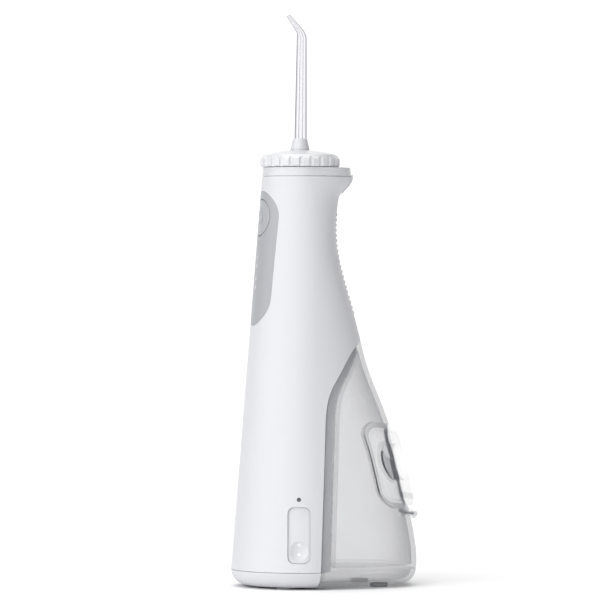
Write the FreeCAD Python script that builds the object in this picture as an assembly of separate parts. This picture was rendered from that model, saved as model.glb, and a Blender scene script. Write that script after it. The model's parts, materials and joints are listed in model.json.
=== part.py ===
import FreeCAD, Part
import math
import os

os.makedirs("parts", exist_ok=True)

V = FreeCAD.Vector
UP = V(0, 0, 1)
RIGHT = V(1, 0, 0)
BACK = V(0, 1, 0)
FAR = 120.0                     # half size of tools that cut right through

# ---------- outer form: a half cone in front of the tip axis, a rounded curve behind it ----------
axis_y = -10.0                  # tip axis in the drawing; see origin_shift
origin_shift = -1.3             # every piece moves by this along Y, so the footprint is centred
cone_radius = 32.9              # radius of the front half cone carried down to the table
cone_taper = 0.0787             # radius lost per mm of height
wall = 2.2
# height, reach behind the tip axis, squareness of the rear curve (2 is an ellipse)
rear_profile = [
    (8.0, 54.8, 2.8), (24.0, 54.0, 2.8), (50.0, 48.8, 2.7), (80.0, 40.8, 2.45),
    (113.0, 29.1, 2.15), (147.0, 19.3, 2.1), (170.0, 16.4, 2.1), (178.0, 17.3, 2.1),
    (184.0, 19.2, 2.1), (188.5, 23.2, 2.1), (192.0, 24.5, 2.1), (196.0, 24.1, 2.1),
]
base_round = 7.1
base_top = 8.0
seam = 0.2
body_top = 191.6
collar_top = 196.0
collar_groove = 0.45            # depth and height of the line under the collar

# ---------- parting surface between the body and the tank (y, height) ----------
split_foot = (-10.3, -1.0)
split_knee = (-5.8, 76.5)
split_curve = [(-2.7, 91.6), (2.2, 99.5), (8.0, 108.0), (14.6, 114.2), (21.5, 117.4)]
tank_gap = 0.5
core_depth = 5.0                # the body's narrower core reaches this far into the tank's wings
core_inset = 3.0
core_wall = 2.0
rim_depth = 3.0
plate_depth = 2.2

# ---------- rear bulkhead, base and feet ----------
bulkhead_fit = 0.1
screw_radius = 0.9
screw_head_radius = 1.7
screw_head_height = 1.2
screw_length = 6.0
bulkhead_screw_x = 16.0
bulkhead_screw_z = (14.0, 66.0)
base_screw_spots = [(-20.0, -14.5), (20.0, -14.5), (0.0, -34.0)]
foot_radius = 4.2
foot_height = 1.7
front_foot = (17.0, -22.0)
rear_foot = (15.0, 24.0)

# ---------- front panel, button, marks ----------
panel_width = 26.0
panel_bottom = 122.0
panel_top = 185.0
panel_depth = 0.8
panel_fit = 0.12
button_z = 172.5
button_radius = 8.35
button_gap = 0.4
button_depth = 2.4
button_stem_radius = 1.6
button_stem_end = -26.2
button_flange = 1.0
lens_radius = 0.9
lens_depth = 2.6
lens_heights = (154.0, 150.0, 144.0, 140.0)
icon_radius = 3.1
icon_line = 0.6
icon_depth = 0.15

# ---------- charging inlet on the right side ----------
port_turn = -18.0               # degrees round the tip axis from +X
port_width = 10.4
port_bottom = 12.4
port_top = 38.4
port_corner = 3.0
port_recess = 0.9
port_depth = 3.6
port_fit = 0.15
port_flange = 1.5
scoop_height = 10.5
scoop_depth = 1.3
contact_radius = 0.7
contact_z = (16.5, 21.0)
led_z = 41.9
led_radius = 1.0
led_depth = 3.0

# ---------- rear grip ----------
grip_half_width = 11.0
grip_bottom = 124.0
grip_top = 179.0
grip_depth = 1.1
rib_pitch = 2.4
rib_thickness = 1.3
rib_height = 0.45

# ---------- tip, knob, socket and eject latch ----------
knob_radius = 18.7
knob_bottom = 196.3
knob_shoulder = 199.9
knob_ceiling = 200.2
knob_top = 204.4
knob_crown_radius = 14.6        # radius the sloped shoulder would reach above the dome
knob_skin = 2.0
knob_chamfer = 0.6
dome_ball = 61.0                # radius of the ball that shapes the knob's dome
knob_flutes = 24
flute_radius = 1.15
flute_circle = 19.0
knob_hole = 4.9
neck_outer = 11.0
neck_inner = 8.5
neck_top = 199.6
tip_stem_radius = 2.5
tip_stem_bottom = 176.4
tip_foot_radius = 2.85
tip_top_radius = 2.3
tip_nose_radius = 1.55
tip_end_radius = 0.9
tip_foot_offset = 0.3           # the tube stands a little behind the axis of its stem
tip_shift = tip_foot_radius - tip_top_radius
bend_steps = 4
tip_foot = 209.6
tip_straight_top = 256.8
tip_bend_radius = 6.0
tip_bend = 38.0
tip_reach = 8.6
tip_bore = 1.1
tip_bend_bore = 0.8
tip_nose_bore = 0.6
tip_end_bore = 0.4
groove_bottom = 185.3
groove_top = 188.5
groove_radius = 1.9
tip_collar_bottom = 203.0
tip_collar_flange = 204.8
tip_collar_radius = 4.45
tip_collar_top_radius = 3.35
socket_radius = 5.0
socket_bottom = 170.0
socket_top = 185.4
socket_bore = 2.7
socket_floor = 173.0
spigot_radius = 1.6
spigot_bore = 0.8
socket_spigot_bottom = 163.0
top_plate_bottom = 189.4
guide_hole = 3.0
latch_bottom = 186.0
latch_top = 188.0
latch_half_width = 5.6
latch_front = -17.5
latch_travel = 2.5
latch_hole = 3.1
eject_half_width = 6.0
eject_bottom = 184.0
eject_top = 192.6
eject_depth = 3.4
eject_proud = 0.9
eject_gap = 0.35

# ---------- motor, gears and pump ----------
motor_x = -8.0
motor_y = -21.0
motor_radius = 12.0
motor_bottom = 12.0
motor_top = 43.0
shaft_radius = 1.0
frame_bottom = 43.1
frame_top = 45.3
gear_module = 0.65
pinion_teeth = 10
gear_teeth = 40
gear_bottom = 46.8
gear_top = 51.2
mesh_angle = 7.0                # degrees from +X, motor shaft towards gear shaft
gear_backlash = 0.22
gear_shaft_radius = 1.5
gear_shaft_top = 52.6
crank_throw = 2.5
crank_pin_radius = 1.5
crank_pin_top = 56.7
rod_bottom = 57.0
rod_top = 60.0
rod_length = 13.0
rod_half_width = 1.5
rod_big_eye = 3.3
rod_small_eye = 2.3
wrist_radius = 1.2
running_fit = 0.08
piston_radius = 3.9
piston_back = 2.5
piston_front = 9.0
piston_slot = 0.3
seal_groove = 0.7
seal_width = 1.6
pump_mouth_x = -6.0
pump_end_x = -21.0
pump_bore_end_x = -17.0
pump_half_width = 5.5
pump_bottom = 53.0
pump_top = 64.0
valve_x = -18.4
valve_chamber = 1.9
valve_seat = 1.0
valve_disc = 1.65
valve_disc_height = 1.0
inlet_valve_z = 55.0
outlet_valve_z = 61.8
chamber_bottom = 54.8
chamber_top = 60.4
outlet_chamber_bottom = 61.6
spigot_length = 3.4
post_radius = 1.6
post_inset = 6.0                # from the motor shaft to the third pump post
hose_radius = 2.2
hose_drop_y = -10.8
hose_bend = 3.2
tube_x = -13.0
tube_y = -9.0
tube_bend = 8.0

# ---------- water inlet between body and tank ----------
inlet_x = -21.5
inlet_z = 18.0
nipple_radius = 2.6
nipple_bore = 1.2
nipple_reach = 5.0
elbow_radius = 2.3
nipple_flange = 4.6
valve_body_radius = 5.4
valve_body_length = 9.0
valve_body_bore = 3.0
poppet_radius = 2.7
poppet_length = 2.2

# ---------- battery, board and chassis ----------
battery_x = 3.0
battery_y = -5.0
battery_radius = 7.0
battery_bottom = 100.0
battery_top = 150.0
spine_half_width = 9.0
spine_front = 2.1
spine_back = 3.3
spine_top = 154.0
shelf_bottom = 98.2
shelf_top = 99.9
board_half_width = 9.5
board_front = -21.5
board_back = -19.9
board_bottom = 118.0
board_top = 182.0
switch_half_width = 3.0
switch_height = 3.0

# ---------- tank, door ----------
tank_wall = 2.2
tank_floor_top = 10.0
door_half_width = 17.5
door_bottom = 35.2
door_top = 76.0
door_corner = 8.0
door_skin = 1.2
door_gap = 0.3
ledge = 2.6
gasket_depth = 1.8
gasket_width = 1.6
hinge_z = 33.4
hinge_out = 1.2
hinge_radius = 1.4
hinge_pin_radius = 0.6
knuckle_half = 6.0
knuckle_side = 4.0
knuckle_gap = 0.3
disc_radius = 8.6
disc_z = 57.5
disc_inset = 2.9
disc_thickness = 1.0
grip_plate_half = 11.5
grip_plate_bottom = 37.0
grip_plate_top = 72.0
grip_plate_corner = 9.0
tank_core_y = axis_y + 20.0     # a depth well inside the tank, where tools for the door start
grip_plate_proud = 2.9
bead_radius = 1.5
bead_height = 0.5
bead_z = 41.5
bead_pitch = 4.2
bead_count = 5


# ---------- small helpers ----------
def box(x0, x1, y0, y1, z0, z1):
    return Part.makeBox(x1 - x0, y1 - y0, z1 - z0, V(x0, y0, z0))


def rod(x, y, radius, z0, z1):
    return Part.makeCylinder(radius, z1 - z0, V(x, y, z0), UP)


def rod_x(y, z, radius, x0, x1):
    return Part.makeCylinder(radius, x1 - x0, V(x0, y, z), RIGHT)


def rod_y(x, z, radius, y0, y1):
    return Part.makeCylinder(radius, y1 - y0, V(x, y0, z), BACK)


def turned(points, x=0.0, y=axis_y):
    """Solid of revolution about a vertical axis from (radius, height) corners."""
    outline = [V(x + radius, y, height) for radius, height in points]
    face = Part.Face(Part.makePolygon(outline + [outline[0]]))
    return face.revolve(V(x, y, 0), UP, 360)


def fused(shapes):
    return shapes[0].multiFuse(shapes[1:]).removeSplitter()


def joined(shapes):
    return shapes[0].multiFuse(shapes[1:])


def grouped(shapes):
    return Part.makeCompound(shapes)


def slab(z0, z1):
    return box(-FAR, FAR, -FAR, FAR, z0, z1)


def save(name, shape):
    shape.translate(V(0, origin_shift, 0))
    shape.exportStep("parts/" + name + ".step")


# ---------- outer form ----------
def cone_at(z):
    return cone_radius - cone_taper * z


def profile_wire(z, half_width, reach, squareness, inset):
    """Closed outline at height z: a half circle in front, a squared ellipse behind, all moved inward."""
    half_width -= inset
    reach -= inset
    pull = (8 * 2 ** (-1 / squareness) - 4) / 3
    left = V(-half_width, axis_y, z)
    right = V(half_width, axis_y, z)
    rear = V(0, axis_y + reach, z)
    edges = [Part.Arc(left, V(0, axis_y - half_width, z), right).toShape()]
    for start, end, lean_out, lean_in in ((right, rear, BACK * reach, RIGHT * half_width),
                                          (rear, left, RIGHT * -half_width, BACK * reach)):
        curve = Part.BezierCurve()
        curve.setPoles([start, start + lean_out * pull, end + lean_in * pull, end])
        edges.append(curve.toShape())
    return Part.Wire(edges)


built_forms = {}


def form(inset):
    """The whole outer shape above the base seam, moved inward by inset."""
    if inset not in built_forms:
        wires = [profile_wire(z, cone_at(z), reach, squareness, inset)
                 for z, reach, squareness in rear_profile]
        built_forms[inset] = Part.makeLoft(wires, True, False)
    return built_forms[inset]


def base_form(inset):
    """The rounded base below the seam, moved inward by inset."""
    seam_z, reach, squareness = rear_profile[0]
    steps = 6
    small = base_round - inset
    wires = []
    for step in range(steps + 1):
        angle = math.pi / 2 * step / steps
        z = base_top - small * math.sin(angle)
        inward = inset + small * (1 - math.cos(angle))
        wires.append(profile_wire(z, cone_at(seam_z), reach, squareness, inward))
    return Part.makeLoft(wires, True, False)


def reach_at(z):
    """Rear reach by straight steps between the listed heights."""
    for low, high in zip(rear_profile, rear_profile[1:]):
        if z <= high[0]:
            share = (z - low[0]) / (high[0] - low[0])
            return low[1] + share * (high[1] - low[1])
    return rear_profile[-1][1]


def behind_split(shift):
    """Everything behind the parting surface, after moving that surface back by shift."""
    foot = V(0, split_foot[0] + shift, split_foot[1])
    knee = V(0, split_knee[0] + shift, split_knee[1])
    points = [knee] + [V(0, y + shift, z) for y, z in split_curve]
    lean = knee.sub(foot)
    curve = Part.BSplineCurve()
    curve.interpolate(Points=points, InitialTangent=lean, FinalTangent=points[-1].sub(points[-2]))
    top_back = V(0, FAR, points[-1].z + (FAR - points[-1].y) * 0.5)
    bottom_back = V(0, FAR, split_foot[1])
    edges = [
        Part.LineSegment(foot, knee).toShape(),
        curve.toShape(),
        Part.LineSegment(points[-1], top_back).toShape(),
        Part.LineSegment(top_back, bottom_back).toShape(),
        Part.LineSegment(bottom_back, foot).toShape(),
    ]
    face = Part.Face(Part.Wire(edges))
    face.translate(V(-FAR, 0, 0))
    return face.extrude(V(2 * FAR, 0, 0))


def split_y(z):
    """Depth of the straight part of the parting surface at height z."""
    share = (z - split_foot[1]) / (split_knee[1] - split_foot[1])
    return split_foot[0] + share * (split_knee[0] - split_foot[0])


def upright_oblong(half_width, z0, z1, corner, y0, y1):
    """Rounded rectangle seen from the front, run from y0 to y1."""
    low = box(-half_width, half_width, y0, y1, z0, z1)
    along = [edge for edge in low.Edges if abs(edge.tangentAt(edge.FirstParameter).y) > 0.9]
    return low.makeFillet(corner, along)


# ---------- fixed body shell ----------
def housing():
    shell = form(0).cut(form(wall)).cut(behind_split(0))
    rim = form(0).cut(form(core_inset + core_wall)).common(behind_split(-rim_depth)).cut(behind_split(0))
    core = form(core_inset).cut(form(core_inset + core_wall))
    core = core.common(behind_split(-rim_depth / 2)).cut(behind_split(core_depth))
    top_plate = form(wall / 2).common(slab(top_plate_bottom, body_top))
    shape = shell.multiFuse([rim, core]).common(slab(base_top + seam, body_top)).fuse(top_plate)
    cuts = [
        rod(0, axis_y, guide_hole, top_plate_bottom - 1, body_top + 1),
        panel_block(panel_depth, 0),
        rod_y(0, button_z, button_radius + button_gap, -FAR, axis_y - socket_radius),
        grip_block(0).cut(form(grip_depth)),
        eject_block(eject_gap),
        port_prism(0),
        led_rod(led_radius, led_depth),
    ]
    for z in lens_heights:
        cuts.append(rod_y(0, z, lens_radius, -FAR, board_front))
    return shape.cut(joined(cuts))


def bulkhead():
    inset = core_inset + core_wall + bulkhead_fit
    plate = form(inset).common(slab(base_top + seam, FAR + FAR))
    plate = plate.common(behind_split(core_depth - plate_depth)).cut(behind_split(core_depth))
    cuts = [rod_y(inlet_x, inlet_z, nipple_radius, -FAR, FAR)]
    for x, y, z in bulkhead_screw_spots():
        cuts.append(rod_y(x, z, screw_radius, -FAR, FAR))
    return plate.cut(joined(cuts))


def bulkhead_screw_spots():
    spots = []
    for z in bulkhead_screw_z:
        for side in (-1, 1):
            x = bulkhead_screw_x * side
            spots.append((x, split_y(z) + core_depth, z))
    return spots


def bulkhead_screws():
    screws = []
    for x, y, z in bulkhead_screw_spots():
        shank = rod_y(x, z, screw_radius, y - screw_length, y - plate_depth / 2)
        head = rod_y(x, z, screw_head_radius, y - plate_depth - screw_head_height, y - plate_depth - 0.1)
        screws.append(shank.fuse(head))
    return grouped(screws)


def base_cap():
    outer = base_form(0).cut(behind_split(0))
    hollow = base_form(wall).cut(behind_split(-wall))
    cap = outer.cut(hollow)
    bosses = [rod(x, y, screw_head_radius + 1.0, base_top - base_round + wall / 2, base_top)
              for x, y in base_screw_spots]
    cap = cap.multiFuse(bosses)
    cuts = [rod(x, y, screw_radius, 0, FAR) for x, y in base_screw_spots]
    cuts += [rod(x, y, screw_head_radius, 0, base_top - base_round + wall) for x, y in base_screw_spots]
    cuts += [rod(side * front_foot[0], front_foot[1], foot_radius, -1, foot_height) for side in (-1, 1)]
    return cap.cut(joined(cuts))


def base_screws():
    head_bottom = base_top - base_round + wall - screw_head_height
    screws = []
    for x, y in base_screw_spots:
        head = rod(x, y, screw_head_radius, head_bottom, head_bottom + screw_head_height)
        shank = rod(x, y, screw_radius, head_bottom, head_bottom + screw_length + screw_head_height)
        screws.append(head.fuse(shank))
    return grouped(screws)


def feet(spot):
    pads = []
    for side in (-1, 1):
        pad = rod(side * spot[0], spot[1], foot_radius, 0, foot_height)
        lower = [edge for edge in pad.Edges if edge.BoundBox.ZMax < foot_height / 2]
        pads.append(pad.makeFillet(foot_height / 4, lower[:1]))
    return grouped(pads)


def top_collar():
    band = form(0).common(slab(body_top, collar_top))
    neck = rod(0, axis_y, neck_outer, collar_top - 1, neck_top)
    cuts = [
        rod(0, axis_y, neck_inner, collar_top - 2.2, neck_top + 1),
        rod(0, axis_y, guide_hole, body_top - 1, neck_top),
        eject_block(eject_gap),
    ]
    groove = form(-1).cut(form(collar_groove)).common(slab(body_top, body_top + collar_groove))
    return band.fuse(neck).cut(joined(cuts)).cut(groove)


# ---------- panel, button and marks ----------
def panel_prism(fit):
    half = panel_width / 2 - fit
    return upright_oblong(half, panel_bottom + fit, panel_top - fit, half - 0.01, -FAR, axis_y)


def panel_block(depth, fit):
    return panel_prism(fit).common(form(0)).cut(form(depth))


def front_panel():
    cuts = [rod_y(0, button_z, button_radius + button_gap, -FAR, axis_y)]
    for z in lens_heights:
        cuts.append(rod_y(0, z, lens_radius, -FAR, axis_y))
    return panel_block(panel_depth, panel_fit).cut(joined(cuts))


def power_button():
    cap = rod_y(0, button_z, button_radius, -FAR, axis_y).common(form(0)).cut(form(button_depth))
    stem_front = axis_y - cone_at(button_z) + button_depth / 2
    stem = rod_y(0, button_z, button_stem_radius, stem_front, button_stem_end)
    ring = rod_y(0, button_z, icon_radius + icon_line / 2, -FAR, axis_y)
    ring = ring.cut(rod_y(0, button_z, icon_radius - icon_line / 2, -FAR, axis_y))
    opening = box(-icon_line * 1.6, icon_line * 1.6, -FAR, axis_y, button_z, button_z + icon_radius * 2)
    stroke = box(-icon_line / 2, icon_line / 2, -FAR, axis_y, button_z + icon_radius * 0.3,
                 button_z + icon_radius * 1.4)
    icon = ring.cut(opening).fuse(stroke).cut(form(icon_depth))
    return cap.fuse(stem).cut(icon)


def button_seal():
    """Soft ring on the inside of the shell, round the button opening."""
    outer = button_radius + button_gap + button_flange
    ring = rod_y(0, button_z, outer, -FAR, axis_y).common(form(wall)).cut(form(wall + 0.5))
    return ring.cut(rod_y(0, button_z, button_radius + button_gap, -FAR, FAR))


def mode_lenses():
    lenses = []
    for z in lens_heights:
        peg = rod_y(0, z, lens_radius, -FAR, axis_y)
        lenses.append(peg.common(form(0)).cut(form(lens_depth)))
    return grouped(lenses)


# ---------- charging inlet ----------
def turned_to_port(shape):
    shape.rotate(V(0, axis_y, 0), UP, port_turn)
    return shape


def port_prism(fit):
    half = port_width / 2 - fit
    block = box(0, FAR, axis_y - half, axis_y + half, port_bottom + fit, port_top - fit)
    along = [edge for edge in block.Edges if abs(edge.tangentAt(edge.FirstParameter).x) > 0.9]
    return turned_to_port(block.makeFillet(port_corner, along))


def charge_port():
    plug = port_prism(port_fit).common(form(port_recess)).cut(form(port_depth))
    flange = port_prism(-port_flange).common(form(wall + 0.05)).cut(form(port_depth))
    flange = flange.cut(behind_split(-rim_depth - 0.1))
    scoop = Part.makeSphere(scoop_height, V(0, 0, 0))
    radius = cone_at(contact_z[0]) - port_recess - scoop_depth + scoop_height
    scoop.translate(V(radius, axis_y, (contact_z[0] + contact_z[1]) / 2))
    cuts = [turned_to_port(scoop)]
    for z in contact_z:
        cuts.append(contact(z, FAR))
    return plug.fuse(flange).cut(joined(cuts))


def contact(z, out):
    pin = Part.makeCylinder(contact_radius, out, V(cone_at(z) - port_depth - 1, axis_y, z), RIGHT)
    return turned_to_port(pin)


def charge_contacts():
    depth = port_depth - port_recess - scoop_depth
    return grouped([contact(z, depth + 1 - 0.1) for z in contact_z])


def led_rod(radius, depth):
    peg = Part.makeCylinder(radius, FAR, V(0, axis_y, led_z), RIGHT)
    return turned_to_port(peg).common(form(0)).cut(form(depth))


# ---------- rear grip ----------
def grip_block(fit):
    half = grip_half_width - fit
    return upright_oblong(half, grip_bottom + fit, grip_top - fit, half / 2, axis_y, FAR).common(form(0))


def rear_grip():
    fit = panel_fit
    base = grip_block(fit).cut(form(grip_depth))
    ribs = []
    z = grip_bottom + rib_pitch * 1.5
    while z < grip_top - rib_pitch * 2:
        ribs.append(box(-FAR, FAR, axis_y, FAR, z, z + rib_thickness))
        z += rib_pitch
    outline = upright_oblong(grip_half_width - 1.6, grip_bottom + 1.6, grip_top - 1.6,
                             grip_half_width / 2, axis_y, FAR)
    ridge_skin = form(-rib_height).cut(form(grip_depth / 2)).common(outline)
    return base.fuse(ridge_skin.common(grouped(ribs)))


# ---------- top: knob, tip, socket, latch ----------
def tip_knob():
    skirt_inner = knob_radius - knob_skin - flute_radius / 2
    groove_inner = neck_outer + 0.3
    groove_outer = neck_outer + 1.6
    outline = [
        (knob_hole, knob_top - knob_skin), (knob_hole, knob_top + 1), (knob_crown_radius, knob_top + 1),
        (knob_radius, knob_shoulder), (knob_radius, knob_bottom + knob_chamfer),
        (knob_radius - knob_chamfer, knob_bottom), (skirt_inner, knob_bottom),
        (skirt_inner, knob_ceiling), (groove_outer, knob_ceiling),
        (groove_outer, knob_bottom + knob_chamfer), (groove_inner, knob_bottom + knob_chamfer),
        (groove_inner, knob_ceiling + 1), (knob_hole + 2, knob_top - knob_skin),
    ]
    dome = Part.makeSphere(dome_ball, V(0, axis_y, knob_top - dome_ball))
    flutes = []
    for index in range(knob_flutes):
        angle = 2 * math.pi * index / knob_flutes
        x = flute_circle * math.cos(angle)
        y = axis_y + flute_circle * math.sin(angle)
        flutes.append(rod(x, y, flute_radius, knob_bottom - 1, knob_top))
    return turned(outline).common(dome).cut(grouped(flutes))


def tip_circle(z, y, radius, tilt):
    """Ring of the tip's tube; tilt is the lean towards the front in degrees."""
    ring = Part.Wire(Part.Circle(V(0, 0, 0), UP, radius).toShape())
    ring.rotate(V(0, 0, 0), RIGHT, tilt)
    ring.translate(V(0, axis_y + y, z))
    return ring


def tip_tube(foot, top, nose, end, overshoot):
    """Tapering tube whose rear side stays upright up to the bend, then a slimmer leaning nose."""
    straight = Part.makeLoft([
        tip_circle(tip_foot - overshoot, tip_foot_offset, foot, 0),
        tip_circle(tip_straight_top, tip_foot_offset + tip_shift, top, 0),
    ], True, True)
    rings = []
    for step in range(bend_steps + 1):
        share = step / bend_steps
        angle = math.radians(tip_bend * share)
        y = tip_foot_offset + tip_shift - tip_bend_radius * (1 - math.cos(angle))
        z = tip_straight_top + tip_bend_radius * math.sin(angle)
        rings.append(tip_circle(z, y, top + share * (nose - top), tip_bend * share))
    bend = Part.makeLoft(rings, True, False)
    reach = tip_reach + overshoot
    end_ring = tip_circle(z + reach * math.cos(angle), y - reach * math.sin(angle), end, tip_bend)
    nozzle = Part.makeLoft([rings[-1], end_ring], True, True)
    return joined([straight, bend, nozzle])


def jet_tip():
    stem = turned([
        (0, tip_stem_bottom), (tip_stem_radius - 0.5, tip_stem_bottom),
        (tip_stem_radius, tip_stem_bottom + 1), (tip_stem_radius, groove_bottom),
        (groove_radius, groove_bottom + 0.3), (groove_radius, groove_top - 0.3),
        (tip_stem_radius, groove_top), (tip_stem_radius, tip_foot), (0, tip_foot),
    ])
    tube = tip_tube(tip_foot_radius, tip_top_radius, tip_nose_radius, tip_end_radius, 0)
    bore = tip_tube(tip_bore, tip_bend_bore, tip_nose_bore, tip_end_bore, 0.5)
    lower_bore = rod(0, axis_y, tip_bore, tip_stem_bottom - 1, tip_foot)
    return stem.fuse(tube).cut(bore.fuse(lower_bore))


def tip_collar():
    return turned([
        (tip_stem_radius, tip_collar_bottom), (tip_collar_radius, tip_collar_bottom),
        (tip_collar_radius, tip_collar_flange), (tip_collar_top_radius, tip_foot),
        (tip_stem_radius, tip_foot),
    ])


def nozzle_socket():
    return turned([
        (spigot_bore, socket_spigot_bottom), (spigot_radius, socket_spigot_bottom),
        (spigot_radius, socket_bottom), (socket_radius, socket_bottom), (socket_radius, socket_top),
        (socket_bore, socket_top), (socket_bore, socket_floor), (spigot_bore, socket_floor),
    ])


def socket_seal():
    return turned([
        (spigot_bore + 0.6, socket_floor), (socket_bore, socket_floor),
        (socket_bore, socket_floor + 1.4), (tip_bore + 0.3, socket_floor + 2.4),
        (spigot_bore + 0.6, socket_floor + 1.4),
    ])


def eject_block(gap):
    half = eject_half_width + gap
    block = upright_oblong(half, eject_bottom - gap, eject_top + gap, 2.4, axis_y + socket_radius, FAR)
    return block


def eject_button():
    return eject_block(0).common(form(-eject_proud)).cut(form(eject_depth)).common(
        box(-FAR, FAR, axis_y + socket_radius * 2, FAR, eject_bottom, eject_top))


def latch_plate():
    rear = axis_y + reach_at(latch_bottom) - eject_depth
    plate = box(-latch_half_width, latch_half_width, latch_front, rear + 4, latch_bottom, latch_top)
    plate = plate.common(form(eject_depth))
    slot = fused([
        rod(0, axis_y, latch_hole, latch_bottom - 1, latch_top + 1),
        rod(0, axis_y + latch_travel, latch_hole, latch_bottom - 1, latch_top + 1),
        box(-latch_hole, latch_hole, axis_y, axis_y + latch_travel, latch_bottom - 1, latch_top + 1),
    ])
    return plate.cut(slot)


def latch_spring():
    """Bowed leaf spring held at its ends ahead of the latch plate."""
    width = 4.4
    front = latch_front - latch_travel - 1.1
    outer = Part.Arc(V(-width, front + 0.6, latch_bottom), V(0, front - 0.6, latch_bottom),
                     V(width, front + 0.6, latch_bottom))
    inner = Part.Arc(V(width, front + 0.9, latch_bottom), V(0, front - 0.3, latch_bottom),
                     V(-width, front + 0.9, latch_bottom))
    left = Part.LineSegment(V(-width, front + 0.9, latch_bottom), V(-width, front + 0.6, latch_bottom))
    right = Part.LineSegment(V(width, front + 0.6, latch_bottom), V(width, front + 0.9, latch_bottom))
    wire = Part.Wire([outer.toShape(), right.toShape(), inner.toShape(), left.toShape()])
    return Part.Face(wire).extrude(V(0, 0, latch_top - latch_bottom + 1.2))


# ---------- motor, gears, pump ----------
def gear_centre():
    spacing = gear_module * (pinion_teeth + gear_teeth) / 2
    angle = math.radians(mesh_angle)
    return (motor_x + spacing * math.cos(angle), motor_y + spacing * math.sin(angle))


gear_x, gear_y = gear_centre()
crank_x = gear_x + crank_throw
wrist_x = crank_x - rod_length
piston_z = (rod_bottom + rod_top) / 2


def toothed_wheel(x, y, teeth, phase, z0, z1):
    """Spur wheel with straight-flanked teeth; phase is the direction of one tooth in degrees."""
    pitch = gear_module * teeth / 2
    tip = pitch + 0.9 * gear_module
    root = pitch - 1.2 * gear_module
    tooth = 2 * math.pi / teeth
    pitch_half = tooth / 4 - gear_backlash / (2 * pitch)
    points = []
    for index in range(teeth):
        middle = math.radians(phase) + index * tooth
        for radius, offset in ((root, -1.5 * pitch_half), (tip, -0.5 * pitch_half),
                               (tip, 0.5 * pitch_half), (root, 1.5 * pitch_half)):
            angle = middle + offset
            points.append(V(x + radius * math.cos(angle), y + radius * math.sin(angle), z0))
    face = Part.Face(Part.makePolygon(points + [points[0]]))
    return face.extrude(V(0, 0, z1 - z0))


def motor():
    can = rod(motor_x, motor_y, motor_radius, motor_bottom, motor_top)
    flats = box(-FAR, motor_x - motor_radius + 1.4, -FAR, FAR, motor_bottom, motor_top)
    flats = flats.fuse(box(motor_x + motor_radius - 1.4, FAR, -FAR, FAR, motor_bottom, motor_top))
    bore = rod(motor_x, motor_y, shaft_radius + running_fit, motor_top - 8, motor_top + 1)
    return can.cut(flats).cut(bore)


def motor_shaft():
    return rod(motor_x, motor_y, shaft_radius, motor_top - 7.5, gear_top + 0.6)


def motor_pinion():
    phase = mesh_angle
    wheel = toothed_wheel(motor_x, motor_y, pinion_teeth, phase, gear_bottom, gear_top)
    return wheel.cut(rod(motor_x, motor_y, shaft_radius, gear_bottom - 1, gear_top + 1))


def drive_gear():
    half_tooth = 180.0 / gear_teeth
    wheel = toothed_wheel(gear_x, gear_y, gear_teeth, mesh_angle + 180 + half_tooth, gear_bottom, gear_top)
    bore = rod(gear_x, gear_y, gear_shaft_radius + running_fit, gear_bottom - 1, gear_top + 1)
    dish = rod(gear_x, gear_y, gear_module * gear_teeth / 2 - 2.4, gear_bottom - 1, gear_bottom + 1.2)
    hub = rod(gear_x, gear_y, gear_shaft_radius + 2.2, gear_bottom, gear_bottom + 1.2)
    pin = rod(crank_x, gear_y, crank_pin_radius, gear_top - 0.5, crank_pin_top)
    boss = rod(crank_x, gear_y, crank_pin_radius + 1.1, gear_top - 0.5, gear_top + 0.8)
    shaft_room = rod(gear_x, gear_y, gear_shaft_radius + running_fit, gear_bottom - 1, gear_shaft_top + 1)
    return wheel.cut(dish.cut(hub)).fuse(pin.fuse(boss)).cut(bore.fuse(shaft_room))


def inner_plate(z0, z1):
    """Level plate that fills the body inside its shell, rim and bulkhead."""
    plate = form(wall + 0.05).common(slab(z0, z1)).cut(behind_split(core_depth - plate_depth - 0.1))
    beside_rim = form(0).cut(form(core_inset + core_wall + bulkhead_fit))
    return plate.cut(beside_rim.common(behind_split(-rim_depth - 0.1)))


def gear_frame():
    plate = inner_plate(frame_bottom, frame_top)
    cuts = [
        rod(motor_x, motor_y, shaft_radius + 2.0, 0, FAR),
        rod(gear_x, gear_y, gear_shaft_radius, 0, FAR),
        swept(inlet_path(), hose_bend, hose_radius + 0.5),
    ]
    rear = gear_y + pump_half_width - post_radius - 0.1
    front = gear_y - pump_half_width + post_radius + 0.1
    spots = [
        (pump_end_x + 2.2, front), (pump_mouth_x - post_radius - 0.2, rear), (motor_x - post_inset, front),
    ]
    posts = [rod(x, y, post_radius, frame_top - 0.5, pump_bottom) for x, y in spots]
    return plate.cut(joined(cuts)).multiFuse(posts)


def gear_shaft():
    return rod(gear_x, gear_y, gear_shaft_radius, frame_bottom, gear_shaft_top)


def connecting_rod():
    big = rod(crank_x, gear_y, rod_big_eye, rod_bottom, rod_top)
    small = rod(wrist_x, gear_y, rod_small_eye, rod_bottom, rod_top)
    bar = box(wrist_x, crank_x, gear_y - rod_half_width, gear_y + rod_half_width, rod_bottom, rod_top)
    eyes = rod(crank_x, gear_y, crank_pin_radius + running_fit, rod_bottom - 1, rod_top + 1)
    eyes = eyes.fuse(rod(wrist_x, gear_y, wrist_radius + running_fit, rod_bottom - 1, rod_top + 1))
    return fused([big, small, bar]).cut(eyes)


def seal_groove_x():
    return wrist_x - piston_front + 2.2


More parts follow.
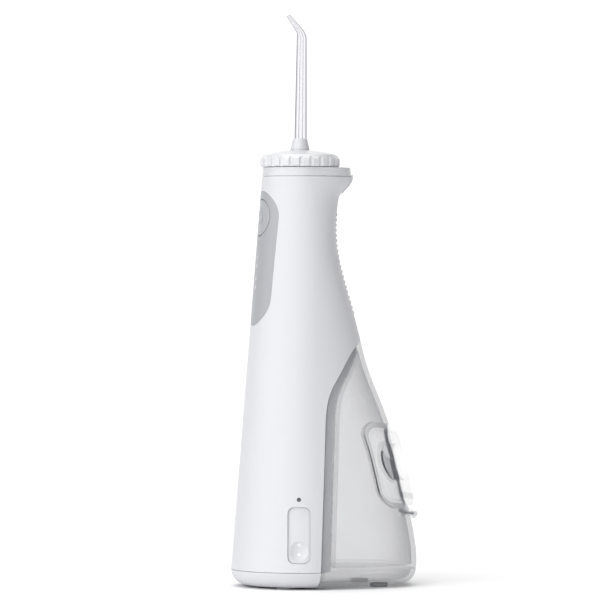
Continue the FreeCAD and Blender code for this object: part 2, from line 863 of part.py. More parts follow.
def piston():
    body = rod_x(gear_y, piston_z, piston_radius, wrist_x - piston_front, wrist_x + piston_back)
    slot = box(wrist_x - rod_small_eye - piston_slot, FAR, -FAR, FAR,
               rod_bottom - piston_slot, rod_top + piston_slot)
    pin_hole = rod(wrist_x, gear_y, wrist_radius, 0, FAR)
    ring = rod_x(gear_y, piston_z, piston_radius + 1, seal_groove_x(), seal_groove_x() + seal_width)
    ring = ring.cut(rod_x(gear_y, piston_z, piston_radius - seal_groove, 0 - FAR, FAR))
    return body.cut(slot.fuse(pin_hole).fuse(ring))


def piston_seal():
    outer = piston_radius + running_fit / 2
    ring = rod_x(gear_y, piston_z, outer, seal_groove_x(), seal_groove_x() + seal_width)
    return ring.cut(rod_x(gear_y, piston_z, piston_radius - seal_groove, -FAR, FAR))


def wrist_pin():
    half = piston_radius * 0.88
    return rod(wrist_x, gear_y, wrist_radius, piston_z - half, piston_z + half)


def pump_body():
    block = box(pump_end_x, pump_mouth_x, gear_y - pump_half_width, gear_y + pump_half_width,
                pump_bottom, pump_top)
    upright = [edge for edge in block.Edges if abs(edge.tangentAt(edge.FirstParameter).z) > 0.9]
    block = block.makeFillet(1.2, upright)
    spigots = [
        rod(valve_x, gear_y, spigot_radius, pump_bottom - spigot_length, pump_bottom),
        rod(valve_x, gear_y, spigot_radius, pump_top, pump_top + spigot_length),
    ]
    cuts = [
        rod_x(gear_y, piston_z, piston_radius + running_fit, pump_bore_end_x, FAR),
        rod(valve_x, gear_y, valve_chamber, chamber_bottom, chamber_top),
        rod(valve_x, gear_y, valve_seat, 0, FAR),
        rod(valve_x, gear_y, valve_chamber, outlet_chamber_bottom, pump_top - 0.6),
    ]
    return block.multiFuse(spigots).cut(joined(cuts))


def valve_poppet(z):
    disc = rod(valve_x, gear_y, valve_disc, z, z + valve_disc_height * 0.6)
    crown = rod(valve_x, gear_y, valve_disc * 0.55, z, z + valve_disc_height)
    return disc.fuse(crown)


def rounded_path(points, radius):
    """Straight runs joined by arcs of the same radius."""
    edges = []
    start = points[0]
    for before, corner, after in zip(points, points[1:], points[2:]):
        arriving = corner.sub(before).normalize()
        leaving = after.sub(corner).normalize()
        turn = arriving.getAngle(leaving)
        tangent = radius * math.tan(turn / 2)
        enter = corner.sub(arriving * tangent)
        leave = corner.add(leaving * tangent)
        inward = leaving.sub(arriving).normalize()
        middle = corner.add(inward * (radius / math.cos(turn / 2) - radius))
        edges.append(Part.LineSegment(start, enter).toShape())
        edges.append(Part.Arc(enter, middle, leave).toShape())
        start = leave
    edges.append(Part.LineSegment(start, points[-1]).toShape())
    return Part.Wire(edges)


def swept(points, bend, radius):
    circle = Part.Circle(points[0], points[1].sub(points[0]), radius)
    path = rounded_path(points, bend)
    return path.makePipeShell([Part.Wire(circle.toShape())], True, False)


def swept_hose(points, bend, inner, outer):
    return swept(points, bend, outer).cut(swept(points, bend, inner))


def inlet_path():
    return [
        V(valve_x, gear_y, pump_bottom - 0.3), V(valve_x, gear_y, frame_top + 1.6),
        V(inlet_x, hose_drop_y, frame_bottom + 1.5), V(inlet_x, hose_drop_y, inlet_z + nipple_radius + 0.2),
    ]


def inlet_hose():
    return swept_hose(inlet_path(), hose_bend, spigot_radius, hose_radius)


def outlet_tube():
    points = [
        V(valve_x, gear_y, pump_top + 0.3), V(valve_x, gear_y, pump_top + spigot_length + 4),
        V(tube_x, tube_y, shelf_bottom - 4), V(tube_x, tube_y, battery_top - 6),
        V(0, axis_y, socket_spigot_bottom - 4), V(0, axis_y, socket_bottom - 0.3),
    ]
    return swept_hose(points, tube_bend, spigot_radius, hose_radius)


# ---------- water inlet ----------
def inlet_wall_y():
    """Inner face of the bulkhead at the height of the water inlet."""
    return split_y(inlet_z) + core_depth - plate_depth


def inlet_nipple():
    wall_y = inlet_wall_y()
    tip = wall_y + plate_depth + nipple_reach
    body = rod_y(inlet_x, inlet_z, nipple_radius, wall_y - 0.5, tip)
    flange = rod_y(inlet_x, inlet_z, nipple_flange, wall_y - 1.6, wall_y - 0.35)
    tail = rod_y(inlet_x, inlet_z, elbow_radius, hose_drop_y - elbow_radius, wall_y)
    spigot = rod(inlet_x, hose_drop_y, spigot_radius, inlet_z, inlet_z + elbow_radius + spigot_length)
    bore = rod_y(inlet_x, inlet_z, spigot_bore, hose_drop_y, FAR)
    bore = bore.fuse(rod(inlet_x, hose_drop_y, spigot_bore, inlet_z, FAR))
    groove = rod_y(inlet_x, inlet_z, nipple_radius + 1, tip - 2.4, tip - 1.2)
    groove = groove.cut(rod_y(inlet_x, inlet_z, nipple_radius - 0.5, -FAR, FAR))
    return body.multiFuse([flange, tail, spigot]).cut(bore.fuse(groove))


def inlet_o_ring():
    tip = inlet_wall_y() + plate_depth + nipple_reach
    ring = rod_y(inlet_x, inlet_z, nipple_radius + 0.28, tip - 2.4, tip - 1.2)
    return ring.cut(rod_y(inlet_x, inlet_z, nipple_radius - 0.5, -FAR, FAR))


def tank_front_y():
    return split_y(inlet_z) + core_depth + tank_gap


def tank_valve_body():
    front = tank_front_y() + 0.4
    boss = rod_y(inlet_x, inlet_z, valve_body_radius, front + tank_wall, front + valve_body_length)
    sleeve = rod_y(inlet_x, inlet_z, valve_body_radius - 1.4, front, front + tank_wall)
    bore = rod_y(inlet_x, inlet_z, valve_body_bore, front - 1, front + valve_body_length - 1.2)
    outlet = rod_y(inlet_x, inlet_z, nipple_bore, front, front + valve_body_length + 1)
    return boss.fuse(sleeve).cut(bore.fuse(outlet))


def tank_valve_poppet():
    start = inlet_wall_y() + plate_depth + nipple_reach + 0.3
    return rod_y(inlet_x, inlet_z, poppet_radius, start, start + poppet_length * 0.45)


# ---------- battery, board, chassis ----------
def battery_cell():
    can = rod(battery_x, battery_y, battery_radius, battery_bottom, battery_top - 1.2)
    cap = rod(battery_x, battery_y, battery_radius * 0.4, battery_top - 1.2, battery_top)
    return can.fuse(cap)


def chassis():
    spine = box(-spine_half_width, spine_half_width, spine_front, spine_back, shelf_bottom, spine_top)
    shelf = inner_plate(shelf_bottom, shelf_top)
    top_shelf = box(-spine_half_width, spine_half_width, board_back, spine_back, spine_top - 1.6, spine_top)
    cradle = rod(battery_x, battery_y, battery_radius + 1.2, battery_bottom + 18, battery_bottom + 26)
    cradle = cradle.cut(box(-FAR, FAR, -FAR, battery_y, 0, 2 * FAR))
    cradle = cradle.cut(rod(battery_x, battery_y, battery_radius, 0, 2 * FAR))
    rails = []
    for side in (-1, 1):
        x = side * (spine_half_width - 1.2)
        rails.append(box(x - 0.8, x + 0.8, board_back, axis_y - 6, shelf_bottom, spine_top))
    cuts = [
        rod(tube_x, tube_y, hose_radius + 0.6, shelf_bottom - 1, shelf_top + 1),
        box(-spine_half_width - 1, 0.5, axis_y - 3, axis_y + 3, spine_top - 4, spine_top + 1),
    ]
    return spine.multiFuse([shelf, top_shelf, cradle] + rails).cut(joined(cuts))


def control_board():
    return box(-board_half_width, board_half_width, board_front, board_back, board_bottom, board_top)


def button_switch():
    case = box(-switch_half_width, switch_half_width, board_front - switch_height, board_front,
               button_z - switch_half_width, button_z + switch_half_width)
    return case


def board_parts():
    """Charging chip, coil and plug standing on the back of the board."""
    back = board_back
    return grouped([
        box(-3.0, 3.0, back, back + 1.2, 126.0, 132.0),
        box(-6.5, -2.5, back, back + 2.6, 162.0, 166.0),
        box(2.5, 6.5, back, back + 2.0, 161.0, 167.0),
    ])


def socket_bracket():
    """Ring clamped round the socket, carried on the top of the board."""
    ring = rod(0, axis_y, socket_radius + 1.6, socket_bottom + 4, socket_bottom + 7)
    arm = box(-2.5, 2.5, board_back, axis_y, socket_bottom + 4, socket_bottom + 7)
    wings = form(wall + 0.05).common(slab(socket_bottom + 4, socket_bottom + 7))
    wings = wings.common(box(-FAR, FAR, axis_y - 2, axis_y + 2, 0, 2 * FAR))
    hole = rod(0, axis_y, socket_radius, 0, 2 * FAR)
    return ring.multiFuse([arm, wings]).cut(hole)


# ---------- tank ----------
def door_prism(half_width, z0, z1, corner):
    return upright_oblong(half_width, z0, z1, corner, axis_y + 20, FAR)


def hinge_y():
    return axis_y + reach_at(hinge_z) + hinge_out


def tank_shell():
    outer = form(0).common(behind_split(tank_gap)).common(slab(base_top + seam, FAR + FAR))
    core_room = form(core_inset - tank_gap).cut(behind_split(core_depth + tank_gap))
    hollow = form(tank_wall).common(behind_split(core_depth + tank_gap + tank_wall))
    hollow = hollow.common(slab(tank_floor_top, FAR + FAR))
    recess = door_prism(door_half_width + door_gap, door_bottom - door_gap, door_top + door_gap, door_corner)
    recess = recess.common(form(-5)).cut(form(door_skin + 0.1))
    opening = door_prism(door_half_width - ledge, door_bottom + ledge, door_top - ledge, door_corner - ledge)
    front = tank_front_y() + 0.4
    socket = rod_y(inlet_x, inlet_z, valve_body_radius - 1.4, front - 2, front + tank_wall + 1)
    shell = outer.cut(core_room).cut(hollow).cut(recess).cut(opening).cut(socket)
    knuckles = []
    for side in (-1, 1):
        near = side * (knuckle_half + knuckle_gap)
        far = side * (knuckle_half + knuckle_gap + knuckle_side)
        knuckles.append(knuckle(min(near, far), max(near, far), -1))
    pin_hole = rod_x(hinge_y(), hinge_z, hinge_pin_radius, -FAR, FAR)
    room_half = knuckle_half + knuckle_gap
    room_y = hinge_y() - hinge_out - door_skin - knuckle_gap
    middle_room = rod_x(hinge_y(), hinge_z, hinge_radius + 0.4, -room_half, room_half)
    door_room = box(-room_half, room_half, room_y, FAR, hinge_z - knuckle_gap, door_bottom)
    middle_room = middle_room.fuse(door_room)
    return shell.multiFuse(knuckles).cut(pin_hole.fuse(middle_room))


def knuckle(x0, x1, side):
    """Hinge barrel with a web to the wall below it (side -1) or to the door above it (side 1)."""
    barrel = rod_x(hinge_y(), hinge_z, hinge_radius, x0, x1)
    z0 = hinge_z if side > 0 else hinge_z - hinge_radius * 1.5
    z1 = hinge_z + hinge_radius * 1.7 if side > 0 else hinge_z
    inner_y = hinge_y() - hinge_out - door_skin * 0.8
    web = box(x0, x1, inner_y, hinge_y() + hinge_radius * 0.2, z0, z1)
    return barrel.fuse(web)


def tank_bottom():
    outer = base_form(0).common(behind_split(tank_gap))
    hollow = base_form(tank_wall).common(behind_split(tank_gap + tank_wall))
    feet_room = [rod(side * rear_foot[0], rear_foot[1], foot_radius, -1, foot_height) for side in (-1, 1)]
    return outer.cut(hollow).cut(joined(feet_room))


def door_hinge_pin():
    half = knuckle_half + knuckle_gap + knuckle_side
    return rod_x(hinge_y(), hinge_z, hinge_pin_radius, -half, half)


def tank_door():
    outline = door_prism(door_half_width, door_bottom, door_top, door_corner)
    skin = outline.common(form(0)).cut(form(door_skin))
    plate = upright_oblong(grip_plate_half, grip_plate_bottom, grip_plate_top, grip_plate_corner,
                           tank_core_y, FAR)
    plate = plate.common(form(-grip_plate_proud)).cut(form(door_skin))
    well = rod_y(0, disc_z, disc_radius + 0.1, 0, FAR).cut(form(disc_inset))
    cup = rod_y(0, disc_z, disc_radius + 1.2, 0, FAR).common(form(0)).cut(form(disc_inset + disc_thickness))
    barrel = knuckle(-knuckle_half, knuckle_half, 1)
    pin_room = rod_x(hinge_y(), hinge_z, hinge_pin_radius + running_fit, -FAR, FAR)
    return skin.multiFuse([plate, cup, barrel]).cut(well.fuse(pin_room))


def door_beads():
    """Plain raised dots along the foot of the door's grip plate."""
    beads = []
    for index in range(bead_count):
        x = (index - (bead_count - 1) / 2) * bead_pitch
        peg = rod_y(x, bead_z, bead_radius, 0, FAR)
        beads.append(peg.common(form(-grip_plate_proud - bead_height)).cut(form(-grip_plate_proud)))
    return grouped(beads)


def thumb_disc():
    disc = rod_y(0, disc_z, disc_radius, 0, FAR).common(form(disc_inset - 0.9)).cut(form(disc_inset))
    finger = rod_y(0, disc_z + disc_radius * 1.15, disc_radius, 0, FAR)
    return disc.cut(finger)


def door_gasket():
    inner = ledge + 0.2
    ring = door_prism(door_half_width - inner, door_bottom + inner, door_top - inner, door_corner - inner)
    inner += gasket_width
    ring = ring.cut(door_prism(door_half_width - inner, door_bottom + inner, door_top - inner,
                               door_corner - inner))
    return ring.common(form(door_skin)).cut(form(door_skin + gasket_depth))


# ---------- write every piece ----------
save("main_housing", housing())
save("rear_bulkhead", bulkhead())
save("bulkhead_screws", bulkhead_screws())
save("base_cap", base_cap())
save("base_screws", base_screws())
save("front_feet", feet(front_foot))
save("top_collar", top_collar())
save("front_panel", front_panel())
save("power_button", power_button())
save("button_seal", button_seal())
save("mode_lenses", mode_lenses())
save("charge_port", charge_port())
save("charge_contacts", charge_contacts())
save("charge_led_lens", led_rod(led_radius, led_depth))
save("rear_grip", rear_grip())
save("tip_knob", tip_knob())
save("jet_tip", jet_tip())
save("tip_collar", tip_collar())
save("nozzle_socket", nozzle_socket())
save("socket_seal", socket_seal())
save("socket_bracket", socket_bracket())
save("eject_button", eject_button())
save("latch_plate", latch_plate())
save("latch_spring", latch_spring())
save("motor", motor())
save("motor_shaft", motor_shaft())
save("motor_pinion", motor_pinion())
save("drive_gear", drive_gear())
save("gear_frame", gear_frame())
save("gear_shaft", gear_shaft())
save("connecting_rod", connecting_rod())
save("piston", piston())
save("piston_seal", piston_seal())
save("wrist_pin", wrist_pin())
save("pump_body", pump_body())
save("inlet_valve", valve_poppet(inlet_valve_z))
save("outlet_valve", valve_poppet(outlet_valve_z))
save("inlet_hose", inlet_hose())
save("outlet_tube", outlet_tube())
save("inlet_nipple", inlet_nipple())
save("inlet_o_ring", inlet_o_ring())
save("battery_cell", battery_cell())
save("chassis", chassis())
save("control_board", control_board())
save("button_switch", button_switch())
save("board_parts", board_parts())
save("tank_shell", tank_shell())
save("tank_bottom", tank_bottom())
save("tank_feet", feet(rear_foot))
save("tank_valve_body", tank_valve_body())
save("tank_valve_poppet", tank_valve_poppet())
save("door_hinge_pin", door_hinge_pin())
save("tank_door", tank_door())
save("door_beads", door_beads())
save("thumb_disc", thumb_disc())
save("door_gasket", door_gasket())
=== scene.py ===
import bpy
import bmesh
import json
import math
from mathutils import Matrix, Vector


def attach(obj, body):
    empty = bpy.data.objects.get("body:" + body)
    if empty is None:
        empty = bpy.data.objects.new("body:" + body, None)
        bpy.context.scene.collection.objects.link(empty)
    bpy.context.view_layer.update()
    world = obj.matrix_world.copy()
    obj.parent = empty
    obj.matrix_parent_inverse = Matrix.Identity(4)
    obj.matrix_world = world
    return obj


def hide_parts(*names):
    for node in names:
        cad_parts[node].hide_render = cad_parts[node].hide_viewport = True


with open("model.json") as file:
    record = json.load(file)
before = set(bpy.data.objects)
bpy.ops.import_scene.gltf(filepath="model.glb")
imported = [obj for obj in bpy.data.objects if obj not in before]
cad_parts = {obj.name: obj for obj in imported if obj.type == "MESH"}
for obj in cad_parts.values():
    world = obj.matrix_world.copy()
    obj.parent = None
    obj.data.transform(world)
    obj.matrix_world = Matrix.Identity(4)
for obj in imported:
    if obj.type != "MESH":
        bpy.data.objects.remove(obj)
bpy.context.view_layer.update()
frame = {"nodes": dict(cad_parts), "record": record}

MM = 0.001
NODES = frame["nodes"]

# ---------- camera: almost side on, a little towards the front ----------
TIP_AXIS = Vector((0.0, -0.0113, 0.0))
CAMERA_TURN = 73.0                  # degrees round the object from the front
CAMERA_DISTANCE = 1.87
CAMERA_HEIGHT = 0.143
AIM_HEIGHT = 0.134
FRAME_WIDTH = 0.2814                # width seen at the tip axis
SENSOR = 36.0

# ---------- light ----------
SKY_BRIGHT = 2.4
SKY_DIM = 0.03
SKY_EDGE = 0.2                      # cosine from the key direction where the sky is dimmest
BACKDROP = 1.12
BACKDROP_EDGE = 0.55                # cosine where the white backdrop starts to show
BACKDROP_FULL = 0.90
KEY_TURN = 38.0                     # degrees from the front, where the sky is brightest
OVERHEAD = 2.2
OVERHEAD_SPREAD = 60.0
OVERHEAD_HEIGHT = 3.0

# ---------- jet tip, mm (the same measures as the designed part) ----------
TIP_SIDES = 64
TIP_STEPS = 10
TIP_STEM = [
    (176.4, 2.0), (177.4, 2.5), (185.3, 2.5), (185.6, 1.9), (188.2, 1.9), (188.5, 2.5), (209.59, 2.5),
]
TIP_FOOT = 209.6
TIP_FOOT_BEHIND = 0.3
TIP_SHIFT = 0.55                    # how much slimmer the tube is at the bend than at its foot
TIP_FOOT_RADIUS = 2.85
TIP_NOSE_RADIUS = 1.55
TIP_END_RADIUS = 0.9
TIP_STRAIGHT_TOP = 256.8
TIP_BEND_RADIUS = 6.0
TIP_BEND = 38.0                     # degrees
TIP_REACH = 8.6
TIP_BORE = 1.1
TIP_BEND_BORE = 0.8
TIP_NOSE_BORE = 0.6
TIP_END_BORE = 0.4
SHARP_ANGLE = 35.0

# ---------- clear parts ----------
HAZE_AMOUNT = 0.04                  # how much faint handling haze adds to the density
HAZE_SCALE = 60.0
# grey of the clear parts: their real smoky tint face on, painted shade where the density rises at the
# edges
CLEAR_TINT_AND_EDGE_SHADE = (0.33, 0.335, 0.36)
CLEAR_BLEND = 0.15                  # how closely the density, painted edge shade, gathers at the edges
CLEAR_IOR = 1.25                    # below real plastic: the look comes mostly from alpha
CLEAR_SPECULAR = 0.15
CLEAR_GLOSS_SHARE = 0.6             # roughness drift as a share of the roughness
CLEAR_PARTS = {                     # roughness, density face on, density at the edge (painted edge shade)
    "tank_clear": (0.06, 0.112, 0.72),
    "tank_base_clear": (0.08, 0.1, 0.7),
    "door_clear": (0.06, 0.05, 0.28),
    "disc_clear": (0.1, 0.1, 0.6),
    "gasket_clear": (0.3, 0.02, 0.1),
}
TUBE_MIDDLE = (0.90, 0.90, 0.92)
# painted shade: the dark colour the tube takes at grazing angles, standing in for refraction lines
TUBE_EDGE_SHADE = (0.20, 0.20, 0.23)
TUBE_CLEAR_TO = 0.12                # facing value up to which the tube is clear
TUBE_SHADE_DARKEST_FROM = 0.72               # facing value from which the painted edge shade is darkest
TUBE_HAZE_SCALE = 200.0
TUBE_GLOSS_SHARE = 0.5
TUBE_IOR = 1.02                     # hardly bends light, so the stem stays clean
TUBE_COAT = 0.3

# ---------- other materials ----------
PLASTIC_IOR = 1.49
COAT_ROUGHNESS = 0.12
PLASTIC_GRAIN = 1400.0
PLASTIC_GRAIN_HEIGHT = 0.00001      # metres
RUBBER_GRAIN = 900.0
RUBBER_GRAIN_HEIGHT = 0.00003
RUBBER_SHEEN = 0.15
METAL_GRAIN_HEIGHT = 0.000008
CLEAR_RIPPLE_HEIGHT = 0.00003
FULL = 1.0

# ---------- floor ----------
FLOOR_HALF = 12.0
FLOOR_COLOR = (0.93, 0.93, 0.935)
FLOOR_ROUGHNESS = 0.9
FLOOR_SPECULAR = 0.1


def side_direction(turn):
    """Level direction from the object, turned from the front (-Y) towards +X."""
    angle = math.radians(turn)
    return Vector((math.sin(angle), -math.cos(angle), 0.0))


# ---------- materials ----------
class Shader:
    """A node material with one Principled shader and short calls to add to it."""

    def __init__(self, name, color, roughness):
        self.material = bpy.data.materials.new(name)
        self.material.use_nodes = True
        self.tree = self.material.node_tree
        self.main = self.tree.nodes["Principled BSDF"]
        self.base = color
        self.set("Base Color", (*color, 1.0))
        self.set("Roughness", roughness)
        self.roughness = roughness
        self.coords = self.add("ShaderNodeTexCoord")

    def set(self, socket, value):
        self.main.inputs[socket].default_value = value

    def add(self, kind, **settings):
        node = self.tree.nodes.new(kind)
        for key, value in settings.items():
            setattr(node, key, value)
        return node

    def link(self, source, target):
        self.tree.links.new(source, target)

    def noise(self, scale, detail=3.0, rough=0.5):
        node = self.add("ShaderNodeTexNoise")
        node.inputs["Scale"].default_value = scale
        node.inputs["Detail"].default_value = detail
        node.inputs["Roughness"].default_value = rough
        self.link(self.coords.outputs["Object"], node.inputs["Vector"])
        return node.outputs["Fac"]

    def ranged(self, value, low, high):
        node = self.add("ShaderNodeMapRange")
        node.inputs["To Min"].default_value = low
        node.inputs["To Max"].default_value = high
        self.link(value, node.inputs["Value"])
        return node.outputs["Result"]

    def tint(self, value, amount):
        """Lets the colour drift by amount around the base colour."""
        ramp = self.add("ShaderNodeValToRGB")
        for index, sign in ((0, -1), (1, 1)):
            shade = [min(1.0, channel * (1 + sign * amount)) for channel in self.base]
            ramp.color_ramp.elements[index].color = (*shade, 1.0)
        self.link(value, ramp.inputs["Fac"])
        self.link(ramp.outputs["Color"], self.main.inputs["Base Color"])

    def vary_roughness(self, value, spread):
        result = self.ranged(value, max(0.0, self.roughness - spread), self.roughness + spread)
        self.link(result, self.main.inputs["Roughness"])

    def bump(self, value, height):
        node = self.add("ShaderNodeBump")
        node.inputs["Strength"].default_value = FULL
        node.inputs["Distance"].default_value = height
        self.link(value, node.inputs["Height"])
        self.link(node.outputs["Normal"], self.main.inputs["Normal"])


def plastic(name, color, roughness, grain=PLASTIC_GRAIN, coat=0.0):
    """Moulded plastic: slow colour drift, patchy gloss and a fine grain."""
    shader = Shader(name, color, roughness)
    shader.tint(shader.noise(scale=18.0), amount=0.012)
    shader.vary_roughness(shader.noise(scale=60.0, detail=4.0), spread=0.05)
    shader.bump(shader.noise(grain, detail=2.0), PLASTIC_GRAIN_HEIGHT)
    shader.set("Coat Weight", coat)
    shader.set("Coat Roughness", COAT_ROUGHNESS)
    shader.set("IOR", PLASTIC_IOR)
    return shader.material


def clear_plastic(name, color, roughness, facing_alpha, edge_shade_alpha):
    """Thin clear moulding: nearly see-through face on, denser and greyer towards its edges as painted
    shade.
    """
    shader = Shader(name, color, roughness)
    # alpha rises towards grazing angles, so the grey gathers at the edges: painted shade for refraction
    # lines at the walls
    weight = shader.add("ShaderNodeLayerWeight")
    weight.inputs["Blend"].default_value = CLEAR_BLEND
    haze = shader.add("ShaderNodeMath", operation="MULTIPLY_ADD")
    haze.inputs[1].default_value = HAZE_AMOUNT
    shader.link(shader.noise(HAZE_SCALE), haze.inputs[0])
    shader.link(weight.outputs["Facing"], haze.inputs[2])
    shader.link(shader.ranged(haze.outputs[0], facing_alpha, edge_shade_alpha), shader.main.inputs["Alpha"])
    shader.tint(shader.noise(scale=25.0), amount=0.02)
    shader.vary_roughness(shader.noise(scale=90.0, detail=4.0), roughness * CLEAR_GLOSS_SHARE)
    shader.bump(shader.noise(scale=35.0, detail=1.0), CLEAR_RIPPLE_HEIGHT)
    shader.set("IOR", CLEAR_IOR)
    shader.set("Specular IOR Level", CLEAR_SPECULAR)
    return shader.material


def clear_tube(name, roughness):
    """Clear stem: straight through in the middle, with painted shade as dark thin lines where the wall
    turns away.
    """
    shader = Shader(name, TUBE_MIDDLE, roughness)
    weight = shader.add("ShaderNodeLayerWeight")
    # base colour darkens from the clear middle to the edge shade at grazing angles: painted shade for the
    # tube's refraction lines
    ramp = shader.add("ShaderNodeValToRGB")
    ramp.color_ramp.interpolation = "EASE"
    stops = ramp.color_ramp.elements
    stops[0].position = TUBE_CLEAR_TO
    stops[0].color = (*TUBE_MIDDLE, 1.0)
    stops[1].position = TUBE_SHADE_DARKEST_FROM
    stops[1].color = (*TUBE_EDGE_SHADE, 1.0)
    haze = shader.add("ShaderNodeMath", operation="MULTIPLY_ADD")
    haze.inputs[1].default_value = HAZE_AMOUNT
    shader.link(shader.noise(TUBE_HAZE_SCALE, detail=2.0), haze.inputs[0])
    shader.link(weight.outputs["Facing"], haze.inputs[2])
    shader.link(haze.outputs[0], ramp.inputs["Fac"])
    shader.link(ramp.outputs["Color"], shader.main.inputs["Base Color"])
    shader.vary_roughness(shader.noise(scale=90.0, detail=4.0), roughness * TUBE_GLOSS_SHARE)
    shader.set("Transmission Weight", FULL)
    shader.set("IOR", TUBE_IOR)
    shader.set("Coat Weight", TUBE_COAT)
    return shader.material


def soft(name, color, roughness):
    """Rubber or silicone: fine matt texture with a little sheen."""
    shader = Shader(name, color, roughness)
    shader.tint(shader.noise(scale=40.0, detail=5.0), amount=0.05)
    shader.vary_roughness(shader.noise(scale=200.0), spread=0.08)
    shader.bump(shader.noise(RUBBER_GRAIN), RUBBER_GRAIN_HEIGHT)
    shader.set("Sheen Weight", RUBBER_SHEEN)
    return shader.material


def metal(name, color, roughness):
    """Turned or plated metal: a patchy roughness and a very fine grain."""
    shader = Shader(name, color, roughness)
    shader.set("Metallic", FULL)
    shader.tint(shader.noise(scale=120.0), amount=0.04)
    shader.vary_roughness(shader.noise(scale=500.0, detail=5.0, rough=0.7), spread=0.08)
    shader.bump(shader.noise(scale=1500.0, detail=2.0), METAL_GRAIN_HEIGHT)
    return shader.material


WHITE = (0.62, 0.624, 0.645)
MATERIALS = {
    "housing_white": plastic("satin_white", WHITE, 0.42),
    "bulkhead_white": plastic("bulkhead_white", WHITE, 0.45),
    "base_white": plastic("base_white", (0.61, 0.614, 0.635), 0.42),
    "collar_white": plastic("collar_white", WHITE, 0.36, coat=0.2),
    "knob_white": plastic("knob_white", (0.64, 0.644, 0.66), 0.33, coat=0.2),
    "eject_white": plastic("eject_white", WHITE, 0.40),
    "port_white": plastic("port_white", WHITE, 0.38),
    "valve_white": plastic("valve_white", (0.78, 0.78, 0.79), 0.45),
    "panel_grey": plastic("panel_grey", (0.36, 0.368, 0.39), 0.40, grain=1000.0),
    "button_grey": plastic("button_grey", (0.38, 0.388, 0.41), 0.38, grain=1000.0),
    "grip_soft": soft("grip_soft", (0.60, 0.605, 0.625), 0.55),
    "tip_clear": clear_tube("tip_clear", 0.04),
    "lens_frosted": plastic("lens_frosted", (0.50, 0.52, 0.56), 0.30),
    "lens_smoke": plastic("lens_smoke", (0.06, 0.06, 0.065), 0.20),
    "foot_rubber": soft("foot_rubber", (0.28, 0.28, 0.29), 0.75),
    "seal_silicone": soft("seal_silicone", (0.62, 0.63, 0.65), 0.5),
    "hose_silicone": soft("hose_silicone", (0.68, 0.69, 0.71), 0.45),
    "valve_rubber": soft("valve_rubber", (0.03, 0.03, 0.03), 0.65),
    "screw_steel": metal("screw_steel", (0.55, 0.55, 0.57), 0.35),
    "shaft_steel": metal("shaft_steel", (0.60, 0.60, 0.62), 0.25),
    "spring_steel": metal("spring_steel", (0.52, 0.52, 0.54), 0.3),
    "motor_can": metal("motor_can", (0.58, 0.59, 0.60), 0.38),
    "battery_wrap": plastic("battery_wrap", (0.05, 0.16, 0.42), 0.3),
    "contact_nickel": metal("contact_nickel", (0.78, 0.78, 0.79), 0.35),
    "gear_white": plastic("gear_white", (0.82, 0.80, 0.74), 0.4),
    "pump_plastic": plastic("pump_plastic", (0.62, 0.63, 0.65), 0.45),
    "frame_grey": plastic("frame_grey", (0.22, 0.23, 0.25), 0.5),
    "board_green": plastic("board_green", (0.03, 0.16, 0.07), 0.35),
    "switch_black": plastic("switch_black", (0.02, 0.02, 0.022), 0.4),
}
for clear_name, clear_numbers in CLEAR_PARTS.items():
    MATERIALS[clear_name] = clear_plastic(clear_name, CLEAR_TINT_AND_EDGE_SHADE, *clear_numbers)

for entry in frame["record"]["subparts"]:
    mesh = NODES[entry["node"]].data
    mesh.materials.clear()
    mesh.materials.append(MATERIALS[entry["material_slot"]])


# ---------- jet tip: a finely ringed copy of the clear tube ----------
def between(start, end, share):
    return start + (end - start) * share


def tip_ring(height, behind, tilt, radius):
    """Ring of points round the tube, tilted forward by tilt; lengths in mm from the tip axis."""
    points = []
    for step in range(TIP_SIDES):
        turn = 2 * math.pi * step / TIP_SIDES
        across = radius * math.cos(turn)
        along = radius * math.sin(turn)
        y = TIP_AXIS.y + (behind + along * math.cos(tilt)) * MM
        points.append((across * MM, y, (height + along * math.sin(tilt)) * MM))
    return points


def tip_path():
    """Height, distance behind the axis, tilt, outer radius and bore radius from foot to nose."""
    path = [(height, 0.0, 0.0, outer, TIP_BORE) for height, outer in TIP_STEM]
    path.append((TIP_FOOT, TIP_FOOT_BEHIND, 0.0, TIP_FOOT_RADIUS, TIP_BORE))
    rise = TIP_STRAIGHT_TOP - TIP_FOOT
    for step in range(1, TIP_STEPS):
        share = step / TIP_STEPS
        path.append((TIP_FOOT + rise * share, TIP_FOOT_BEHIND + share * TIP_SHIFT, 0.0,
                     TIP_FOOT_RADIUS - share * TIP_SHIFT, between(TIP_BORE, TIP_BEND_BORE, share)))
    for step in range(TIP_STEPS + 1):
        share = step / TIP_STEPS
        tilt = math.radians(TIP_BEND) * share
        behind = TIP_FOOT_BEHIND + TIP_SHIFT - TIP_BEND_RADIUS * (1 - math.cos(tilt))
        height = TIP_STRAIGHT_TOP + TIP_BEND_RADIUS * math.sin(tilt)
        path.append((height, behind, tilt, between(TIP_FOOT_RADIUS - TIP_SHIFT, TIP_NOSE_RADIUS, share),
                     between(TIP_BEND_BORE, TIP_NOSE_BORE, share)))
    for step in range(1, TIP_STEPS + 1):
        share = step / TIP_STEPS
        run = TIP_REACH * share
        path.append((height + run * math.cos(tilt), behind - run * math.sin(tilt), tilt,
                     between(TIP_NOSE_RADIUS, TIP_END_RADIUS, share),
                     between(TIP_NOSE_BORE, TIP_END_BORE, share)))
    return path


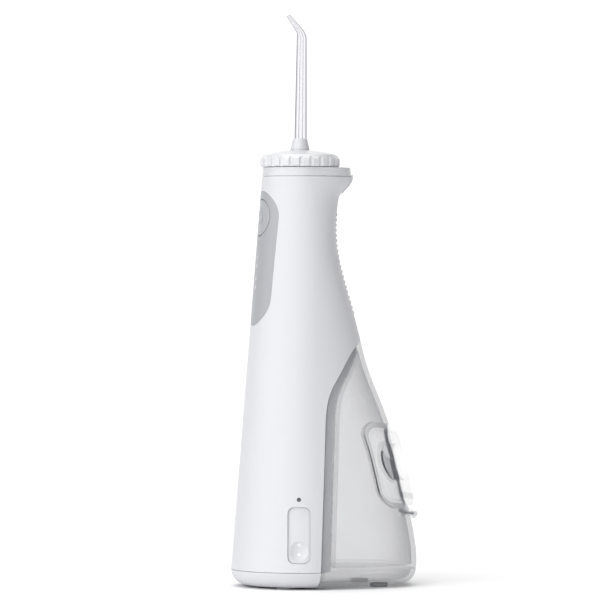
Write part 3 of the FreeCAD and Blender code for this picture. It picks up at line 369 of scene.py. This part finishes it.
def add_tip():
    """One closed skin: up the outside from foot to nose, then back down the bore."""
    path = tip_path()
    rings = [tip_ring(height, behind, tilt, outer) for height, behind, tilt, outer, bore in path]
    rings += [tip_ring(height, behind, tilt, bore) for height, behind, tilt, outer, bore in reversed(path)]
    shape = bmesh.new()
    grid = [[shape.verts.new(point) for point in ring] for ring in rings]
    for index, ring in enumerate(grid):
        following = grid[(index + 1) % len(grid)]
        for side in range(TIP_SIDES):
            other = (side + 1) % TIP_SIDES
            shape.faces.new((ring[side], ring[other], following[other], following[side])).smooth = True
    bmesh.ops.recalc_face_normals(shape, faces=shape.faces[:])
    for edge in shape.edges:
        edge.smooth = edge.calc_face_angle(0.0) < math.radians(SHARP_ANGLE)
    mesh = bpy.data.meshes.new("jet_tip_tube")
    shape.to_mesh(mesh)
    shape.free()
    tube = bpy.data.objects.new("jet_tip_tube", mesh)
    bpy.context.scene.collection.objects.link(tube)
    mesh.materials.append(MATERIALS["tip_clear"])
    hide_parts("jet_tip")
    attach(tube, "jet_tip")


# ---------- floor, light, camera ----------
def add_floor():
    mesh = bpy.data.meshes.new("floor")
    half = FLOOR_HALF
    corners = [(-half, -half, 0), (half, -half, 0), (half, half, 0), (-half, half, 0)]
    mesh.from_pydata(corners, [], [(0, 1, 2, 3)])
    floor = bpy.data.objects.new("floor", mesh)
    bpy.context.scene.collection.objects.link(floor)
    shader = Shader("floor_paper", FLOOR_COLOR, FLOOR_ROUGHNESS)
    shader.tint(shader.noise(scale=3.0), amount=0.004)
    shader.set("Specular IOR Level", FLOOR_SPECULAR)
    mesh.materials.append(shader.material)


def add_sky():
    """Soft surround, brightest at the key side, with a white backdrop behind the object."""
    world = bpy.data.worlds.new("studio")
    bpy.context.scene.world = world
    world.use_nodes = True
    tree = world.node_tree
    coords = tree.nodes.new("ShaderNodeTexCoord")

    def glow(direction, edge, full, low, high):
        dot = tree.nodes.new("ShaderNodeVectorMath")
        dot.operation = "DOT_PRODUCT"
        dot.inputs[1].default_value = direction
        tree.links.new(coords.outputs["Generated"], dot.inputs[0])
        level = tree.nodes.new("ShaderNodeMapRange")
        level.interpolation_type = "SMOOTHSTEP"
        for socket, value in (("From Min", edge), ("From Max", full), ("To Min", low), ("To Max", high)):
            level.inputs[socket].default_value = value
        tree.links.new(dot.outputs["Value"], level.inputs["Value"])
        return level.outputs["Result"]

    key = glow(side_direction(KEY_TURN), SKY_EDGE, 1.0, SKY_DIM, SKY_BRIGHT)
    card = glow(-side_direction(CAMERA_TURN), BACKDROP_EDGE, BACKDROP_FULL, 0.0, BACKDROP)
    brighter = tree.nodes.new("ShaderNodeMath")
    brighter.operation = "MAXIMUM"
    tree.links.new(key, brighter.inputs[0])
    tree.links.new(card, brighter.inputs[1])
    path = tree.nodes.new("ShaderNodeLightPath")
    pick = tree.nodes.new("ShaderNodeMix")
    pick.data_type = "FLOAT"
    tree.links.new(path.outputs["Is Camera Ray"], pick.inputs[0])
    tree.links.new(brighter.outputs[0], pick.inputs[2])
    pick.inputs[3].default_value = BACKDROP
    background = tree.nodes["Background"]
    background.inputs["Color"].default_value = (1.0, 1.0, 1.0, 1.0)
    tree.links.new(pick.outputs[0], background.inputs["Strength"])


def add_overhead():
    lamp = bpy.data.lights.new("overhead", "SUN")
    lamp.energy = OVERHEAD
    lamp.angle = math.radians(OVERHEAD_SPREAD)
    holder = bpy.data.objects.new("overhead", lamp)
    holder.location = (0, 0, OVERHEAD_HEIGHT)
    bpy.context.scene.collection.objects.link(holder)


def add_camera():
    data = bpy.data.cameras.new("camera")
    data.sensor_width = SENSOR
    data.lens = SENSOR * CAMERA_DISTANCE / FRAME_WIDTH
    camera = bpy.data.objects.new("camera", data)
    spot = TIP_AXIS + side_direction(CAMERA_TURN) * CAMERA_DISTANCE
    spot.z = CAMERA_HEIGHT
    camera.location = spot
    aim = Vector((TIP_AXIS.x, TIP_AXIS.y, AIM_HEIGHT)) - spot
    camera.rotation_euler = aim.to_track_quat("-Z", "Y").to_euler()
    bpy.context.scene.collection.objects.link(camera)
    bpy.context.scene.camera = camera


add_tip()
add_floor()
add_sky()
add_overhead()
add_camera()
bpy.context.scene.view_settings.view_transform = "Standard"

bpy.context.view_layer.update()
